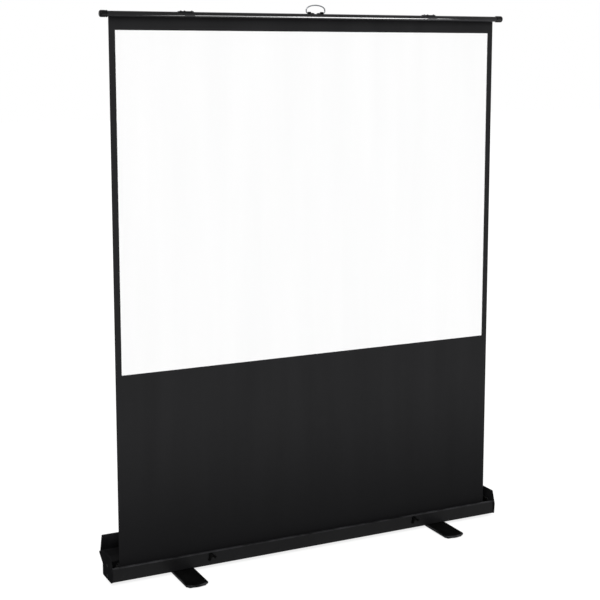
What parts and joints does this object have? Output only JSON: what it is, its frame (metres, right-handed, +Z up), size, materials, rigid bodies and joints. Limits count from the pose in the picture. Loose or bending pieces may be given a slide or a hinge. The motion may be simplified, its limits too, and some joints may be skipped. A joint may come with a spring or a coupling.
{
  "type": "pull-up projection screen",
  "caption": "Floor-standing pull-up projection screen: white viewing surface on black cloth, raised from a long floor case by folding rear arms, on swivel feet.",
  "frame": {"origin": "floor level under the middle of the object, between the feet", "axes": "+Z up, -Y towards the viewer of the screen, +X to the viewer's right"},
  "size_m": [1.539, 0.362, 1.9331],
  "materials": {
    "case_coating": "black powder coat on bent steel sheet",
    "foot_coating": "black powder coat, flat plate",
    "arm_coating": "graphite anodised flat bar",
    "bar_enamel": "gloss black enamel on tube",
    "cap_plastic": "moulded black ABS",
    "black_cloth": "matt black coated cloth",
    "white_surface": "matt white viewing surface",
    "pad_rubber": "moulded black rubber",
    "zinc_steel": "zinc plated steel",
    "aluminium_strip": "mill finish aluminium",
    "bail_chrome": "bright plated wire",
    "black_screw": "blackened steel"
  },
  "bodies": {
    "case": {"case_shell": "case_coating", "spring_mandrel": "zinc_steel", "roller_spring": "black_screw", "base_spacer_right": "cap_plastic", "screen_fabric": "black_cloth", "viewing_surface": "white_surface", "end_cap_left": "cap_plastic", "end_cap_right": "cap_plastic", "roller_bracket_left": "black_screw", "roller_bracket_right": "black_screw", "base_bracket_left": "case_coating", "base_bracket_right": "case_coating", "base_pin_left": "zinc_steel", "base_pin_right": "zinc_steel", "foot_bolt_left": "zinc_steel", "foot_bolt_right": "zinc_steel", "catch_screw_left": "black_screw", "catch_screw_right": "black_screw", "end_cap_screw_left_1": "black_screw", "end_cap_screw_left_2": "black_screw", "end_cap_screw_right_1": "black_screw", "end_cap_screw_right_2": "black_screw"},
    "roller": {"roller_tube": "case_coating", "roller_plug_left": "cap_plastic", "roller_plug_right": "cap_plastic", "fabric_wrap": "black_cloth"},
    "arm_lower_left": {"lower_arm_left": "arm_coating", "elbow_pin_left": "zinc_steel"},
    "arm_upper_left": {"upper_arm_left": "arm_coating"},
    "arm_lower_right": {"lower_arm_right": "arm_coating", "elbow_pin_right": "zinc_steel"},
    "arm_upper_right": {"upper_arm_right": "arm_coating"},
    "top_bar": {"top_bar_tube": "bar_enamel", "fabric_clamp_strip": "aluminium_strip", "top_spacer_left": "cap_plastic", "bar_cap_left": "cap_plastic", "bar_cap_right": "cap_plastic", "top_bracket_left": "case_coating", "top_bracket_right": "case_coating", "top_pin_left": "zinc_steel", "top_pin_right": "zinc_steel", "handle_mount_left": "cap_plastic", "handle_mount_right": "cap_plastic", "bracket_screw_left_1": "black_screw", "bracket_screw_left_2": "black_screw", "bracket_screw_left_3": "black_screw", "bracket_screw_right_1": "black_screw", "bracket_screw_right_2": "black_screw", "bracket_screw_right_3": "black_screw"},
    "bail": {"handle_bail": "bail_chrome"},
    "left_foot": {"foot_left": "foot_coating", "foot_pad_left_front": "pad_rubber", "foot_pad_left_back": "pad_rubber"},
    "right_foot": {"foot_right": "foot_coating", "foot_pad_right_front": "pad_rubber", "foot_pad_right_back": "pad_rubber"},
    "left_catch": {"turn_catch_left": "cap_plastic"},
    "right_catch": {"turn_catch_right": "cap_plastic"}
  },
  "joints": [
    {"name": "lift", "type": "hinge", "parent": "case", "child": "arm_lower_left", "pos_m": [-0.462, 0.048, 0.0755], "axis": [0, 1, 0], "range_deg": [0, 53.3], "deforming": ["screen_fabric", "viewing_surface"]},
    {"name": "elbow_left", "type": "hinge", "parent": "arm_lower_left", "child": "arm_upper_left", "pos_m": [0.193, 0.0528, 0.98425], "axis": [0, -1, 0], "range_deg": [0, 106.6]},
    {"name": "bar_pivot_left", "type": "hinge", "parent": "arm_upper_left", "child": "top_bar", "pos_m": [-0.462, 0.048, 1.893], "axis": [0, 1, 0], "range_deg": [0, 53.31]},
    {"name": "lift_right", "type": "hinge", "parent": "case", "child": "arm_lower_right", "pos_m": [0.462, 0.0575, 0.0755], "axis": [0, -1, 0], "range_deg": [0, 53.31]},
    {"name": "elbow_right", "type": "hinge", "parent": "arm_lower_right", "child": "arm_upper_right", "pos_m": [-0.193, 0.0528, 0.98425], "axis": [0, 1, 0], "range_deg": [0, 106.6]},
    {"name": "roller_spin", "type": "hinge", "parent": "case", "child": "roller", "pos_m": [0, 0, 0.042], "axis": [1, 0, 0], "range_deg": [0, 5031]},
    {"name": "bail_swing", "type": "hinge", "parent": "top_bar", "child": "bail", "pos_m": [0, -0.0306, 1.9051], "axis": [1, 0, 0], "range_deg": [-90, 90]},
    {"name": "foot_left_swivel", "type": "hinge", "parent": "case", "child": "left_foot", "pos_m": [-0.509, 0, 0.0075], "axis": [0, 0, 1], "range_deg": [0, 90]},
    {"name": "foot_right_swivel", "type": "hinge", "parent": "case", "child": "right_foot", "pos_m": [0.509, 0, 0.0075], "axis": [0, 0, -1], "range_deg": [0, 90]},
    {"name": "catch_left_turn", "type": "hinge", "parent": "case", "child": "left_catch", "pos_m": [-0.409, -0.0468, 0.05], "axis": [0, -1, 0], "range_deg": [0, 90]},
    {"name": "catch_right_turn", "type": "hinge", "parent": "case", "child": "right_catch", "pos_m": [0.409, -0.0468, 0.05], "axis": [0, -1, 0], "range_deg": [0, 90]}
  ],
  "couplings": [
    {"joint": "elbow_left", "follows": "lift", "ratio": 2},
    {"joint": "bar_pivot_left", "follows": "lift", "ratio": 1},
    {"joint": "lift_right", "follows": "lift", "ratio": 1},
    {"joint": "elbow_right", "follows": "lift", "ratio": 2},
    {"joint": "roller_spin", "follows": "lift", "ratio": 94.344}
  ]
}
